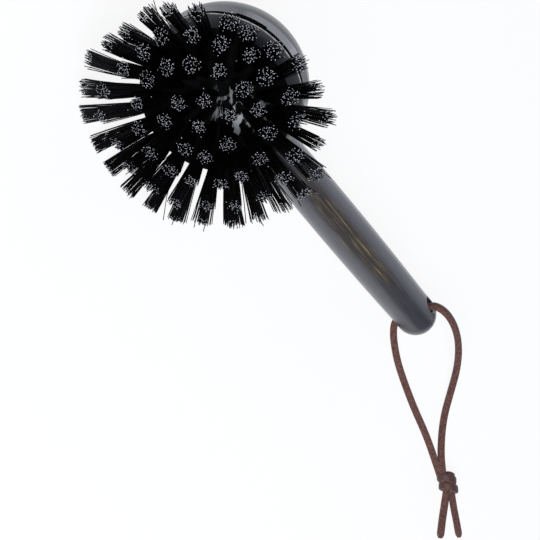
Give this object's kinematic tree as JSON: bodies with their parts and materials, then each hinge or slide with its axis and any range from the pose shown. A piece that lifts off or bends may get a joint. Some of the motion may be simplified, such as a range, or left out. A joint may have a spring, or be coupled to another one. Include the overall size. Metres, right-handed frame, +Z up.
{
  "type": "dish brush",
  "caption": "Ball-headed wooden dish brush: turned handle, push-fit bristle block with flared tufts, and a knotted leather hanging lace.",
  "frame": {"origin": "on the table, under the middle of the lying brush's box, lace left out", "axes": "+X along the brush from the head to the handle's free end, +Z up from the table it lies on"},
  "size_m": [0.2367, 0.0822, 0.0721],
  "materials": {
    "stained_wood": "black stained, satin",
    "bristle": "black filament, cut ends paler",
    "anchor_metal": "drawn wire",
    "lace_leather": "brown suede"
  },
  "bodies": {
    "brush_back": {"handle": "stained_wood", "head_cap": "stained_wood", "lace_upper_leg": "lace_leather", "lace_lower_leg": "lace_leather", "lace_tail_left": "lace_leather", "lace_tail_right": "lace_leather", "lace_knot": "lace_leather"},
    "bristle_head": {"bristle_block": "stained_wood", "tufts_core": "bristle", "tufts_first": "bristle", "tufts_second": "bristle", "tufts_third": "bristle", "tufts_outer": "bristle", "anchors_core": "anchor_metal", "anchors_first": "anchor_metal", "anchors_second": "anchor_metal", "anchors_third": "anchor_metal", "anchors_outer": "anchor_metal"}
  },
  "joints": [
    {"name": "head_pull", "type": "slide", "parent": "brush_back", "child": "bristle_head", "axis": [-0.3362, -0.8485, 0.4086], "range_m": [0, 0.012]}
  ]
}
